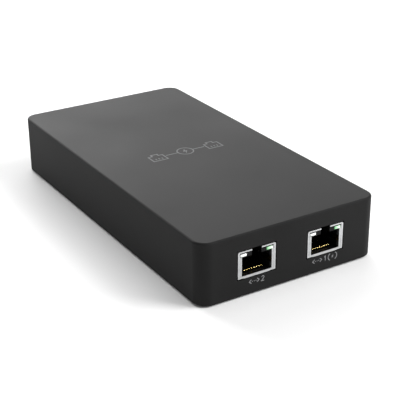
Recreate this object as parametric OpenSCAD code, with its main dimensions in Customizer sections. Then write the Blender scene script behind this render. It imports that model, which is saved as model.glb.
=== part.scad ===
// In-line PoE injector: a flat mains-powered box with two shielded RJ45 sockets.
// +Z is up, +X runs along the socket end, and the sockets face -Y.
// The origin is the centre of the footprint, at the underside of the rubber feet.

/* [Housing] */
// Width of the housing across the sockets
case_w = 77; // [70:1:110]
// Length of the housing from the socket end to the mains end
case_l = 150; // [124:1:220]
// Height of the housing without its feet
case_h = 24.4; // [24.4:0.1:40]
// Radius of the upright corners
corner_r = 5.3; // [4.5:0.1:9]
// Rounding of the top edge
top_edge_r = 0.8; // [0.3:0.1:1.2]
// Wall of the top cover
wall = 2; // [1.6:0.1:2.6]
// Thickness of the base plate
base_t = 2; // [1.8:0.1:3]
// How far the base plate sits up inside the cover
base_inset = 0.3; // [0.1:0.1:1]
// Gap all round the base plate
base_gap = 0.15; // [0.1:0.05:0.4]

/* [Feet, label and screws] */
// Radius of a rubber foot
foot_r = 4; // [3:0.5:6]
// How far the feet stand out below the housing
foot_stand = 0.6; // [0.4:0.1:3]
// Depth of the pocket that holds a foot
foot_pocket = 0.5; // [0.3:0.1:0.8]
// Thickness of the rating label
label_t = 0.15; // [0.1:0.05:0.3]
// Radius of a screw's thread
screw_r = 1.25; // [1:0.05:1.4]
// Radius of a screw's head
screw_head_r = 2.4; // [2:0.1:2.6]
// Radius of the cover's screw bosses
boss_r = 2.9; // [2.6:0.1:3.2]

/* [Circuit board] */
// Thickness of the board
board_t = 1.6; // [0.8:0.1:2.4]
// Height of the standoffs under the board
standoff_h = 3.3; // [3:0.1:6]
// Gap between the board and the cover's walls
board_gap = 0.6; // [0.3:0.1:2]

/* [RJ45 sockets] */
// Distance between the centres of the two sockets
jack_pitch = 30; // [22:0.5:36]
// Width of a socket's shield
jack_w = 15.9; // [15.5:0.1:20]
// Height of a socket's shield above the board
jack_h = 10.35; // [10.3:0.05:14]
// Depth of a socket
jack_d = 16; // [15:0.5:20]
// Width of the plug cavity
plug_w = 11.75; // [11.6:0.05:12]
// Height of the plug cavity
plug_h = 7.3; // [6.8:0.1:7.4]
// Gap between a shield and the cover's cut-out
jack_gap = 0.4; // [0.15:0.05:0.5]
// Pitch of the contact wires
contact_pitch = 1.02; // [1:0.01:1.05]
// Length of the springy stretch of a contact wire
contact_l = 7.2; // [6:0.1:8]
// Slope of the contact wires at rest
contact_slope = 20; // [14:1:22]

/* [Mains inlet] */
// Width of the inlet's body
inlet_w = 27.4; // [27:0.1:29]
// Height of the inlet's body
inlet_h = 19.8; // [19:0.1:20.2]
// Depth of the inlet's body
inlet_d = 21; // [20:0.5:26]

/* [Hidden] */
$fn = 64;
eps = 0.01;

// Housing levels, from the floor up
case_z = foot_stand;
case_top = case_z + case_h;
base_z = case_z + base_inset;
base_top = base_z + base_t;
board_z = base_top + standoff_h;
board_top = board_z + board_t;
ceiling = case_top - wall;
headroom = ceiling - board_top;
front_y = -case_l / 2;
rear_y = case_l / 2;
base_w = case_w - 2 * wall - 2 * base_gap;
base_l = case_l - 2 * wall - 2 * base_gap;
board_w = case_w - 2 * wall - 2 * board_gap;
board_l = case_l - 2 * wall - 2 * board_gap;

// Screws, bosses and feet
screw_gap = 0.1;
screw_head_t = 1.1;
head_pocket = 1.2;
boss_x = case_w / 2 - wall - boss_r - 0.6;
boss_y = case_l / 2 - wall - boss_r - 0.6;
housing_screw_l = 9;
foot_x = case_w / 2 - 11;
foot_y = case_l / 2 - 17;
standoff_r = 2.6;
standoff_x = board_w / 2 - standoff_r - 1.5;
standoff_front_y = front_y + 23;
standoff_rear_y = rear_y - 27;
board_screw_head_t = 1.4;
board_screw_l = 4.6;
sheet_t = 0.3;
label_w = 46;
label_l = 62;
label_pocket = 0.2;

// Socket details, measured up from the board and in from the end wall
jack_recess = 0.1;
sheet_metal = 0.25;
lip_h = 0.55;
sill_h = 0.55;
face_strip = 1.62;
face_w = jack_w - 2 * face_strip;
sill_drop = 0.4;
sill_drop_w = 11.3;
face_drop = 0.25;
notch_w = 4.1;
latch_w = 6.4;
latch_step = 1.6;
insert_gap = 0.05;
lens_w = 2.65;
lens_h = 1.05;
lens_l = 10;
lens_in = 0.75;
lens_side_gap = 0.35;
lens_top_gap = 0.65;
lens_bed = 0.2;
finger_h = 2.15;
finger_z = 4.1;
finger_bulge = 0.33;
finger_l = 6;
finger_slot_out = max(plug_w / 2 + 0.9, face_w / 2 + 0.15);
root_y = front_y + 2.75;
root_z = board_top + sill_h + 0.57;
root_r = 0.25;
contact_w = 0.5;
contact_t = 0.3;
contact_count = 8;
lead_z = board_top + 0.4;
lead_end_y = front_y + jack_d - 4;
trench_w = contact_pitch * contact_count + 0.5;
peg_r = 1.6;
peg_x = 5.7;
peg_y = front_y + 9;
leg_w = 1.2;
leg_y = front_y + 12;
lan_x = -jack_pitch / 2;
poe_x = jack_pitch / 2;

// Inlet details: a 10 A appliance inlet with three flat pins
inlet_z = (base_top + ceiling) / 2;
inlet_body_h = min(inlet_h, ceiling - base_top - 0.3);
inlet_face_y = rear_y - 0.3;
inlet_gap = 0.1;
cavity_w = 24.6;
cavity_h = 16.5;
cavity_d = 17;
cavity_chamfer = 4.8;
pin_w = 2;
pin_h = 4;
pin_pitch = 14;
pin_offset = 2;
pin_tip_in = 2;
flange_w = 30;
flange_t = 1.5;
tab_drop_y = inlet_face_y - inlet_d - 2.4;

// Component places: the mains group follows the rear wall, the data group the socket end,
// and the converter group sits midway between them
rear_group_y = rear_y - 41;
front_group_y = front_y + 33;
mid_y = (rear_group_y + front_group_y) / 2;
side_x = board_w / 2;
tallest = min(headroom - 1, 14);
fuse_x = -side_x + 8;
fuse_y = rear_y - 35;
fuse_r = 2.3;
fuse_l = 20;
fuse_cap_l = 5;
disc_pair_y = rear_group_y + 7;
varistor_x = -8;
thermistor_x = -15.5;
x_cap_x = side_x - 12;
x_cap_y = rear_y - 18;
choke_x = side_x - 14;
choke_y = rear_group_y + 3.5;
bridge_x = 2;
bulk_cap_r = tallest / 2;
bulk_cap_l = 26;
bulk_cap_x = side_x - bulk_cap_r - 3;
bulk_cap_y = mid_y - 8;
heatsink_in = 3;
heatsink_l = 20;
heatsink_t = 1.5;
package_t = 3.2;
package_in = heatsink_in + (heatsink_t + package_t) / 2 + 0.05;
primary_sink_y = mid_y + 10;
output_sink_y = mid_y - 19;
controller_x = -side_x + 9.5;
controller_y = mid_y - 8;
xfmr_x = -8.5;
xfmr_y = mid_y + 11;
xfmr_z = board_top + tallest / 2 + 0.2;
opto_x = 7;
opto_y = mid_y - 18;
slot_y = mid_y - 15;
y_cap_x = 16;
y_cap_y = mid_y - 13;
output_cap_x = -4;
output_cap_y = mid_y - 19.5;
output_cap_pitch = 10.6;
inductor_x = side_x - 12.9;
inductor_y = mid_y - 14.5;
poe_chip_y = front_y + 27;
magnetics_y = front_y + 26;
chip_parts_y = front_y + 9;
chip_parts_pitch = min(3, (jack_pitch - jack_w - 3) / 3);

// ---------- Shared shapes ----------

module rounded_rect(w, l, r) {
    square([w - 2 * r, l], center = true);
    square([w, l - 2 * r], center = true);
    for (x = [-1, 1], y = [-1, 1])
        translate([x * (w / 2 - r), y * (l / 2 - r)]) circle(r);
}

module rounded_plate(w, l, r, z, h) {
    translate([0, 0, z]) linear_extrude(h) rounded_rect(w, l, r);
}

// A block centred in X and Y that stands on z
module block(x, y, z, w, l, h) {
    translate([x - w / 2, y - l / 2, z]) cube([w, l, h]);
}

module disc(x, y, z, r, h) {
    translate([x, y, z]) cylinder(r = r, h = h);
}

module at_corners(x, y) {
    for (sx = [-1, 1], sy = [-1, 1])
        translate([sx * x, sy * y, 0]) children();
}

module at_standoffs() {
    for (sx = [-1, 1], y = [standoff_front_y, standoff_rear_y])
        translate([sx * standoff_x, y, 0]) children();
}

// Pan head with a cross recess, head downwards at z
module pan_screw(z, head_t, length) {
    difference() {
        union() {
            translate([0, 0, z]) cylinder(r = screw_head_r, h = head_t);
            translate([0, 0, z]) cylinder(r = screw_r, h = head_t + length);
        }
        for (a = [0, 90])
            rotate([0, 0, a]) block(0, 0, z - eps, 2.6, 0.6, 0.7);
    }
}

// Small moulded package with gull-wing legs on both long sides
module chip(x, y, w, l, h, legs, pitch) {
    block(x, y, board_top + 0.1, w, l, h);
    for (side = [-1, 1], i = [0:legs - 1])
        block(x + side * (w / 2 + 0.45), y + (i - (legs - 1) / 2) * pitch, board_top,
            1, pitch * 0.35, 0.4);
}

// Radial can capacitor standing on the board
module can(x, y, r, h) {
    difference() {
        disc(x, y, board_top, r, h);
        translate([x, y, board_top + 1.4]) rotate_extrude()
            translate([r + 0.2, 0]) circle(0.5);
        block(x, y, board_top + h - 0.2, r, 0.4, 1);
        block(x, y, board_top + h - 0.2, 0.4, r, 1);
    }
}

// ---------- Housing ----------

// Half of the housing's section, from the middle out to the wall
module cover_section(half) {
    square([half, case_h - top_edge_r]);
    square([half - top_edge_r, case_h]);
    translate([half - top_edge_r, case_h - top_edge_r]) circle(top_edge_r);
}

module cover_body() {
    for (a = [0, 90], side = [0, 180]) {
        across = a == 0 ? case_w : case_l;
        along = a == 0 ? case_l : case_w;
        rotate([0, 0, a + side])
            translate([0, along / 2 - corner_r, case_z]) rotate([90, 0, 0])
                linear_extrude(along - 2 * corner_r) cover_section(across / 2);
    }
    at_corners(case_w / 2 - corner_r, case_l / 2 - corner_r)
        translate([0, 0, case_z]) rotate_extrude() cover_section(corner_r);
}

module jack_cutout(x) {
    translate([x - jack_w / 2 - jack_gap, front_y - 1, board_top - sill_drop - jack_gap])
        cube([jack_w + 2 * jack_gap, wall + 2, jack_h + sill_drop + 2 * jack_gap]);
}

module top_cover() {
    color("#3a3a3c") difference() {
        union() {
            difference() {
                cover_body();
                rounded_plate(case_w - 2 * wall, case_l - 2 * wall, corner_r - wall,
                    case_z - 1, case_h - wall + 1);
            }
            at_corners(boss_x, boss_y)
                translate([0, 0, base_top]) cylinder(r = boss_r, h = ceiling - base_top + 0.5);
        }
        at_corners(boss_x, boss_y)
            translate([0, 0, base_top - 1]) cylinder(r = screw_r + screw_gap, h = housing_screw_l + 1);
        jack_cutout(lan_x);
        jack_cutout(poe_x);
        block(0, rear_y - wall / 2, inlet_z - inlet_body_h / 2 - inlet_gap,
            inlet_w + 2 * inlet_gap, wall + 2, inlet_body_h + 2 * inlet_gap);
    }
}

module base_plate() {
    color("#303032") difference() {
        union() {
            rounded_plate(base_w, base_l, corner_r - wall - base_gap, base_z, base_t);
            at_standoffs()
                translate([0, 0, base_top - 0.5]) cylinder(r = standoff_r, h = standoff_h + 0.5);
        }
        at_corners(boss_x, boss_y) {
            translate([0, 0, base_z - 1]) cylinder(r = screw_r + screw_gap, h = base_t + 2);
            translate([0, 0, base_z - 1]) cylinder(r = screw_head_r + 0.2, h = head_pocket + 1);
        }
        at_corners(foot_x, foot_y)
            translate([0, 0, base_z - 1]) cylinder(r = foot_r + 0.1, h = foot_pocket + 1);
        at_standoffs()
            translate([0, 0, board_z - board_screw_l - 0.3 + board_t])
                cylinder(r = screw_r + screw_gap, h = 10);
        block(0, 0, base_z - 1, label_w + 0.4, label_l + 0.4, label_pocket + 1);
    }
}

module rubber_feet() {
    color("#1c1c1c") at_corners(foot_x, foot_y)
        cylinder(r = foot_r, h = base_z + foot_pocket);
}

module housing_screws() {
    color("#b8b8bc") at_corners(boss_x, boss_y)
        pan_screw(base_z + head_pocket - screw_head_t, screw_head_t, housing_screw_l - 1);
}

module rating_label() {
    color("#d8d8d8") rounded_plate(label_w, label_l, 1.5, base_z + label_pocket - label_t, label_t);
}

module insulation_sheet() {
    color("#e6e2d0") difference() {
        block(0, 0, base_top, base_w - 1, base_l - 1, sheet_t);
        at_corners(boss_x, boss_y)
            block(0, 0, base_top - 1, 2 * boss_r + 4, 2 * boss_r + 4, 3);
        at_standoffs()
            translate([0, 0, base_top - 1]) cylinder(r = standoff_r + 0.4, h = 3);
        block(0, rear_y - inlet_d / 2, base_top - 1, flange_w + 1, inlet_d + 2, 3);
    }
}

// ---------- Circuit board ----------

module main_board() {
    corner_cut = 2 * (boss_r + 1.5);
    color("#2f6b3c") difference() {
        block(0, 0, board_z, board_w, board_l, board_t);
        at_corners(board_w / 2, board_l / 2)
            block(0, 0, board_z - 1, 2 * corner_cut, 2 * corner_cut, board_t + 2);
        block(0, rear_y - inlet_d / 2, board_z - 1, flange_w + 1, inlet_d + 3, board_t + 2);
        at_standoffs()
            translate([0, 0, board_z - 1]) cylinder(r = screw_r + 0.2, h = board_t + 2);
        // isolation slot under the transformer
        block(opto_x, slot_y, board_z - 1, 12, 1.5, board_t + 2);
        for (x = [lan_x, poe_x]) {
            for (side = [-1, 1]) {
                disc(x + side * peg_x, peg_y, board_z - 1, peg_r + 0.1, board_t + 2);
                block(x + side * (jack_w / 2 - sheet_metal / 2), leg_y, board_z - 1,
                    1.2, leg_w + 0.6, board_t + 2);
            }
            block(x, lead_end_y, board_z - 1, trench_w + 0.4, 1.2, board_t + 2);
        }
        for (i = [-1, 0, 1])
            block(i * pin_pitch / 2, tab_drop_y, board_z - 1, pin_w + 0.4, 1.4, board_t + 2);
    }
}

module board_screws() {
    color("#b8b8bc") at_standoffs()
        translate([0, 0, board_top + board_screw_head_t]) mirror([0, 0, 1])
            pan_screw(0, board_screw_head_t, board_screw_l);
}

// ---------- RJ45 sockets ----------

module jack_face_opening() {
    plug_top = sill_h + plug_h;
    translate([-face_w / 2, sill_h]) square([face_w, jack_h - lip_h - sill_h]);
    translate([-(jack_w / 2 - lens_in), plug_top + lens_bed])
        square([jack_w - 2 * lens_in, jack_h - lip_h - plug_top - lens_bed]);
    translate([-notch_w / 2, jack_h - lip_h - 0.2]) square([notch_w, lip_h + 1]);
}

// Spring finger folded back from the face, bulging into the cavity
module shield_finger() {
    translate([0, 0, finger_z - finger_h / 2]) linear_extrude(finger_h) polygon([
        [face_w / 2 + 0.1, 0], [face_w / 2 - 0.05, 0], [plug_w / 2, 0.6],
        [plug_w / 2 - finger_bulge, 2.6], [plug_w / 2 - finger_bulge, 3.4],
        [plug_w / 2, finger_l], [plug_w / 2 + 0.2, finger_l],
        [plug_w / 2 - finger_bulge + 0.2, 3.4], [plug_w / 2 - finger_bulge + 0.2, 2.6],
        [plug_w / 2 + 0.2, 0.8], [face_w / 2 + 0.1, 0.3]]);
}

module jack_shield(x) {
    color("#c9cbcc") translate([x, front_y + jack_recess, board_top]) {
        difference() {
            union() {
                translate([-jack_w / 2, 0, 0]) cube([jack_w, jack_d, jack_h]);
                translate([-jack_w / 2, 0, -face_drop])
                    cube([jack_w, sheet_metal, face_drop + 0.2]);
                translate([-sill_drop_w / 2, 0, -sill_drop])
                    cube([sill_drop_w, sheet_metal, sill_drop + 0.2]);
            }
            translate([-jack_w / 2 + sheet_metal, sheet_metal, -1])
                cube([jack_w - 2 * sheet_metal, jack_d - 2 * sheet_metal, jack_h - sheet_metal + 1]);
            translate([0, sheet_metal + 0.1, 0]) rotate([90, 0, 0])
                linear_extrude(sheet_metal + 1) jack_face_opening();
            translate([-notch_w / 2, -1, jack_h - lip_h])
                cube([notch_w, 1 + latch_step, lip_h + 1]);
        }
        for (side = [0, 1]) mirror([side, 0, 0]) {
            shield_finger();
            translate([jack_w / 2 - sheet_metal, leg_y - front_y - jack_recess - leg_w / 2, -3])
                cube([sheet_metal, leg_w, 3.5]);
        }
    }
}

module lens_at(side) {
    inner = jack_w / 2 - lens_in - lens_side_gap - lens_w;
    translate([side > 0 ? inner : -inner - lens_w, 0, jack_h - lip_h - lens_top_gap - lens_h])
        children();
}

module jack_insert(x) {
    body_w = jack_w - 2 * sheet_metal - 2 * insert_gap;
    body_h = jack_h - sheet_metal - insert_gap;
    body_d = jack_d - 2 * sheet_metal - 2 * insert_gap;
    plug_top = sill_h + plug_h;
    color("#161616") translate([x, front_y + jack_recess + sheet_metal + insert_gap, board_top]) {
        difference() {
            translate([-body_w / 2, 0, 0]) cube([body_w, body_d, body_h]);
            translate([-plug_w / 2, -1, sill_h]) cube([plug_w, body_d - 1.2, plug_h]);
            translate([-latch_w / 2, latch_step, plug_top - 0.1])
                cube([latch_w, body_d - latch_step - 4, body_h - plug_top - 0.6]);
            translate([-notch_w / 2, -1, plug_top - 0.1])
                cube([notch_w, latch_step + 1.1, body_h]);
            for (side = [-1, 1]) {
                lens_at(side) translate([-0.05, -1, -0.05])
                    cube([lens_w + 0.1, lens_l + 1, lens_h + 0.1]);
                mirror([side < 0 ? 1 : 0, 0, 0])
                    translate([plug_w / 2 - 0.3, -1, finger_z - finger_h / 2 - 0.15])
                        cube([finger_slot_out - plug_w / 2 + 0.3, finger_l + 1.4, finger_h + 0.3]);
            }
            translate([-trench_w / 2, 1.9, 0.3])
                cube([trench_w, lead_end_y - front_y - 1.5, sill_h]);
            for (i = [0:contact_count - 1])
                translate([(i - (contact_count - 1) / 2) * contact_pitch - contact_w / 2 - 0.05,
                    lead_end_y - front_y - jack_recess - sheet_metal - 0.4, -1])
                    cube([contact_w + 0.1, 0.6, 2]);
        }
        for (side = [-1, 1])
            translate([side * peg_x, peg_y - front_y - jack_recess - sheet_metal, -board_t - 0.4])
                cylinder(r = peg_r, h = board_t + 0.9);
    }
}

module at_contacts(x) {
    for (i = [0:contact_count - 1])
        translate([x + (i - (contact_count - 1) / 2) * contact_pitch - contact_w / 2, 0, 0])
            children();
}

// The springy stretch of each wire, from its root bend to its free end
module jack_contacts(x) {
    color("#d9b65c") at_contacts(x) translate([0, root_y, root_z]) {
        rotate([0, 90, 0]) cylinder(r = root_r, h = contact_w);
        rotate([contact_slope, 0, 0]) translate([0, 0, -contact_t / 2])
            cube([contact_w, contact_l, contact_t]);
    }
}

// The fixed stretch of each wire, from under the root to the solder side of the board
module jack_leads(x) {
    color("#d9b65c") at_contacts(x) {
        translate([0, root_y - 0.3, lead_z - 0.1]) cube([contact_w, lead_end_y - root_y + 0.5, 0.25]);
        translate([0, lead_end_y - 0.15, board_z - 0.8])
            cube([contact_w, 0.35, lead_z - 0.1 - board_z + 1.05]);
    }
}

module jack_lens(x, side, tint) {
    color(tint) translate([x, front_y + jack_recess + 0.1, board_top])
        lens_at(side) cube([lens_w, lens_l - 0.2, lens_h]);
}

// ---------- Mains inlet ----------

module inlet_cavity() {
    polygon([[-cavity_w / 2, -cavity_h / 2], [cavity_w / 2, -cavity_h / 2],
        [cavity_w / 2, cavity_h / 2 - cavity_chamfer],
        [cavity_w / 2 - cavity_chamfer, cavity_h / 2],
        [-cavity_w / 2 + cavity_chamfer, cavity_h / 2],
        [-cavity_w / 2, cavity_h / 2 - cavity_chamfer]]);
}

function pin_z(i) = inlet_z + (i == 0 ? pin_offset : -pin_offset);

module inlet_shell() {
    back_y = inlet_face_y - inlet_d;
    color("#1a1a1a") difference() {
        union() {
            block(0, inlet_face_y - inlet_d / 2, inlet_z - inlet_body_h / 2, inlet_w, inlet_d, inlet_body_h);
            block(0, rear_y - wall - flange_t / 2 - 0.1, inlet_z - inlet_body_h / 2,
                flange_w, flange_t, inlet_body_h);
        }
        translate([0, inlet_face_y + 1, inlet_z]) rotate([90, 0, 0])
            linear_extrude(cavity_d + 1) inlet_cavity();
        for (i = [-1, 0, 1])
            block(i * pin_pitch / 2, back_y, pin_z(i) - pin_h / 2 - 0.05,
                pin_w + 0.1, inlet_d, pin_h + 0.1);
    }
}

module inlet_pins() {
    tip_y = inlet_face_y - pin_tip_in;
    color("#c8c8c0") for (i = [-1, 0, 1]) {
        block(i * pin_pitch / 2, (tip_y + tab_drop_y) / 2, pin_z(i) - pin_h / 2,
            pin_w, tip_y - tab_drop_y, pin_h);
        block(i * pin_pitch / 2, tab_drop_y, board_z - 0.8,
            pin_w, 0.8, pin_z(i) - board_z + 0.8);
    }
}

// ---------- Mains side ----------

module fuse() {
    axis_z = board_top + 3.4;
    color("#d8d8d0") {
        translate([fuse_x, fuse_y, axis_z]) rotate([-90, 0, 0]) cylinder(r = fuse_r, h = fuse_l);
        for (y = [fuse_y - 1, fuse_y + fuse_l - fuse_cap_l]) {
            translate([fuse_x, y, axis_z]) rotate([-90, 0, 0]) cylinder(r = fuse_r + 0.3, h = fuse_cap_l);
            block(fuse_x, y + fuse_cap_l / 2, board_top, 3, 3, 1.5);
        }
    }
}

// Radial disc component with two leads
module disc_part(x, y, r, t) {
    translate([x - t / 2, y, board_top + 1 + r]) rotate([0, 90, 0]) cylinder(r = r, h = t);
    for (side = [-1, 1])
        disc(x, y + side * r / 2, board_top, 0.4, 3);
}

module varistor() {
    color("#3c6fb0") disc_part(varistor_x, disc_pair_y, 5.2, 4);
}

module inrush_thermistor() {
    color("#2f4a38") disc_part(thermistor_x, disc_pair_y, 5, 4);
}

module x_capacitor() {
    color("#d8b93c") {
        block(x_cap_x, x_cap_y, board_top + 0.5, 8.5, 17, tallest - 1);
        for (side = [-1, 1])
            block(x_cap_x, x_cap_y + side * 7, board_top, 1, 1, 0.8);
    }
}

choke_r = 9;
choke_hole_r = 4.6;
choke_h = 7;
choke_z = board_top + 1.6;

module choke_core() {
    color("#38342f") translate([choke_x, choke_y, choke_z]) difference() {
        cylinder(r = choke_r, h = choke_h);
        translate([0, 0, -1]) cylinder(r = choke_hole_r, h = choke_h + 2);
    }
}

module choke_windings() {
    turns = 7;
    wire = 0.8;
    ring = choke_r - choke_hole_r;
    color("#b5652c") translate([choke_x, choke_y, choke_z])
        for (half = [0, 180], i = [0:turns - 1])
            rotate([0, 0, half - 51 + i * 17])
                difference() {
                    translate([choke_hole_r - wire - 0.1, -wire / 2, -wire - 0.1])
                        cube([ring + 2 * wire + 0.2, wire, choke_h + 2 * wire + 0.2]);
                    translate([choke_hole_r - 0.1, -wire, -0.1])
                        cube([ring + 0.2, 2 * wire, choke_h + 0.2]);
                }
}

module bridge_rectifier() {
    color("#202024") {
        block(bridge_x, rear_group_y, board_top + 2, 15, 3.6, 10.5);
        for (i = [-1.5, -0.5, 0.5, 1.5])
            block(bridge_x + i * 3.8, rear_group_y, board_top, 0.9, 0.6, 2.5);
    }
}

module bulk_capacitor() {
    groove_from_end = 2.5;
    lead_x = 2.5;
    color("#2a2f52") {
        translate([bulk_cap_x, bulk_cap_y, board_top + bulk_cap_r]) rotate([-90, 0, 0]) difference() {
            cylinder(r = bulk_cap_r, h = bulk_cap_l);
            translate([0, 0, bulk_cap_l - groove_from_end]) rotate_extrude()
                translate([bulk_cap_r + 0.3, 0]) circle(0.8);
        }
        for (side = [-1, 1])
            block(bulk_cap_x + side * lead_x, bulk_cap_y - 0.5, board_top, 0.8, 1.02, bulk_cap_r + 0.4);
    }
}

// Upright plate with a thicker top edge
module heatsink(x, y) {
    color("#aeb2b5") {
        block(x, y, board_top, heatsink_t, heatsink_l, tallest);
        block(x, y, board_top + tallest - heatsink_t, 2 * heatsink_t, heatsink_l, heatsink_t);
    }
}

// Moulded power package with a metal tab behind it, screwed flat against a heatsink
module power_package(x, y) {
    block(x, y, board_top + 3, package_t, 10, 8.5);
    for (i = [-1, 0, 1])
        block(x, y + i * 2.54, board_top, 0.6, 0.9, 3.5);
}

module primary_heatsink() {
    heatsink(-side_x + heatsink_in, primary_sink_y);
}

module primary_transistor() {
    color("#1e1e20") power_package(-side_x + package_in, primary_sink_y + 2);
}

module controller_chip() {
    color("#232326") chip(controller_x, controller_y, 3.9, 4.9, 1.5, 4, 1.27);
}

// ---------- Isolation ----------

core_w = 26;
core_l = 23;
core_h = 7;
leg_core_w = 7;
yoke = 3.5;
bobbin_wall = 0.8;

module transformer_core() {
    window_w = (core_w - 2 * yoke - leg_core_w) / 2;
    color("#3b3b3d") translate([xfmr_x, xfmr_y, xfmr_z]) difference() {
        translate([-core_w / 2, -core_l / 2, -core_h / 2]) cube([core_w, core_l, core_h]);
        for (side = [-1, 1])
            translate([side * (leg_core_w + window_w) / 2 - window_w / 2, -core_l / 2 + yoke, -core_h])
                cube([window_w, core_l - 2 * yoke, 2 * core_h]);
    }
}

module transformer_bobbin() {
    tube_w = leg_core_w + 0.2;
    tube_h = core_h + 0.2;
    collar_w = core_w - 2 * yoke - 0.4;
    length = core_l - 2 * yoke - 0.4;
    color("#26262a") translate([xfmr_x, xfmr_y, xfmr_z]) difference() {
        union() {
            translate([-tube_w / 2 - bobbin_wall, -length / 2, -tube_h / 2 - bobbin_wall])
                cube([tube_w + 2 * bobbin_wall, length, tube_h + 2 * bobbin_wall]);
            for (side = [-1, 1])
                translate([-collar_w / 2, side * (length / 2 - 0.5) - 0.5, -tallest / 2 + 0.4])
                    cube([collar_w, 1, tallest - 0.8]);
            for (side = [-1, 1])
                translate([-collar_w / 2, side * (core_l / 2 - 1.5) - 3.4 + (side > 0 ? 0 : 2.2),
                    -tallest / 2 - 0.2])
                    cube([collar_w, 4.6, (tallest - core_h) / 2]);
        }
        translate([-tube_w / 2, -length, -tube_h / 2]) cube([tube_w, 2 * length, tube_h]);
    }
}

module transformer_winding() {
    inner_w = leg_core_w + 0.2 + 2 * bobbin_wall + 0.1;
    inner_h = core_h + 0.2 + 2 * bobbin_wall + 0.1;
    outer_w = core_w - 2 * yoke - 1.4;
    outer_h = tallest - 1.2;
    length = core_l - 2 * yoke - 2.8;
    color("#e3c53a") translate([xfmr_x, xfmr_y, xfmr_z]) difference() {
        translate([-outer_w / 2, -length / 2, -outer_h / 2]) cube([outer_w, length, outer_h]);
        translate([-inner_w / 2, -length, -inner_h / 2]) cube([inner_w, 2 * length, inner_h]);
    }
}

module optocoupler() {
    color("#f0f0ec") chip(opto_x, opto_y, 4.6, 4.4, 3.4, 2, 2.54);
}

module y_capacitor() {
    color("#3f7fc4") disc_part(y_cap_x, y_cap_y, 4.2, 3.6);
}

// ---------- Output side ----------

module output_heatsink() {
    heatsink(side_x - heatsink_in, output_sink_y);
}

module output_rectifier() {
    color("#1e1e20") power_package(side_x - package_in, output_sink_y);
}

module output_capacitors() {
    color("#2c3038") for (i = [0:2])
        can(output_cap_x - i * output_cap_pitch, output_cap_y, 4.9, min(tallest, 12.5));
}

module output_inductor() {
    color("#4a4036") difference() {
        disc(inductor_x, inductor_y, board_top, 4.6, 9);
        translate([inductor_x, inductor_y, board_top + 4.5]) rotate_extrude()
            translate([4.9, 0]) square([2, 6], center = true);
    }
}

module poe_controller() {
    color("#232326") chip(0, poe_chip_y, 7.5, 10, 2.3, 8, 1.27);
}

module magnetics(x) {
    color("#202022") chip(x, magnetics_y, 9.8, 15, 5.2, 12, 1.27);
}

module surface_mount_parts() {
    color("#8c7a5c") for (row = [0:2], i = [0:3])
        block((i - 1.5) * chip_parts_pitch, chip_parts_y + row * 1.9, board_top, 2, 1.25, 0.8);
}

top_cover();
base_plate();
rubber_feet();
housing_screws();
rating_label();
insulation_sheet();
main_board();
board_screws();
jack_shield(lan_x);  // lan_jack_shield
jack_insert(lan_x);  // lan_jack_insert
jack_contacts(lan_x);  // lan_jack_contacts
jack_leads(lan_x);  // lan_jack_leads
jack_lens(lan_x, -1, "#f2f4f2");  // lan_jack_lens_left
jack_lens(lan_x, 1, "#bfe6c4");  // lan_jack_lens_right
jack_shield(poe_x);  // poe_jack_shield
jack_insert(poe_x);  // poe_jack_insert
jack_contacts(poe_x);  // poe_jack_contacts
jack_leads(poe_x);  // poe_jack_leads
jack_lens(poe_x, -1, "#f2f4f2");  // poe_jack_lens_left
jack_lens(poe_x, 1, "#bfe6c4");  // poe_jack_lens_right
inlet_shell();
inlet_pins();
fuse();
varistor();
inrush_thermistor();
x_capacitor();
choke_core();
choke_windings();
bridge_rectifier();
bulk_capacitor();
primary_heatsink();
primary_transistor();
controller_chip();
transformer_core();
transformer_bobbin();
transformer_winding();
optocoupler();
y_capacitor();
output_heatsink();
output_rectifier();
output_capacitors();
output_inductor();
poe_controller();
magnetics(lan_x);  // lan_magnetics
magnetics(poe_x);  // poe_magnetics
surface_mount_parts();
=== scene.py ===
import math
import random

import bmesh
import bpy
from mathutils import Matrix, Vector


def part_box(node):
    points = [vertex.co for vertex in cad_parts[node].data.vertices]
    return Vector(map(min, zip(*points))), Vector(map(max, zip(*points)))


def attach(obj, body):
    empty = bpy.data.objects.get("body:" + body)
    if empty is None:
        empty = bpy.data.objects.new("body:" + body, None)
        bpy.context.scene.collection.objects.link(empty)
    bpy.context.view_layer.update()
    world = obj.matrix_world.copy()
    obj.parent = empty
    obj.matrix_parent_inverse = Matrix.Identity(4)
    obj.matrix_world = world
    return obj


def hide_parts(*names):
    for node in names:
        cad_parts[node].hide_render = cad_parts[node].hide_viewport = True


# An in-line PoE injector: a charcoal ABS box with two shielded RJ45 sockets and a mains inlet.
# Shapes are drawn in millimetres and scaled to metres as each piece is finished.

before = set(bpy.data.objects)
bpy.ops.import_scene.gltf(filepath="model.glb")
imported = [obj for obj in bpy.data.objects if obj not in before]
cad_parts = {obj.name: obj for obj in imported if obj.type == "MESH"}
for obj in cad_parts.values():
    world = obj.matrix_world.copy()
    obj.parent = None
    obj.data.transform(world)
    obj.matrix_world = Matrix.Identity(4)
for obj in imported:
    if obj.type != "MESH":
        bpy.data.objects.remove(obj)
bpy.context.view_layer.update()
random.seed(7)
mm = 0.001
print("frame loaded:", len(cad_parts), "nodes")  # Places taken from the frame, in millimetres
def nodeBox(node):
    low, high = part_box(node)
    return low / mm, high / mm  # The middles of four round parts of the same radius that stand at the corners of a node's box
def cornersOf(node, radius):
    low, high = nodeBox(node)
    return [(x, y) for x in (low.x + radius, high.x - radius) for y in (low.y + radius, high.y - radius)]


coverLow, coverHigh = nodeBox("top_cover")
baseLow, baseHigh = nodeBox("base_plate")
boardTop = nodeBox("main_board")[1].z

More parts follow.
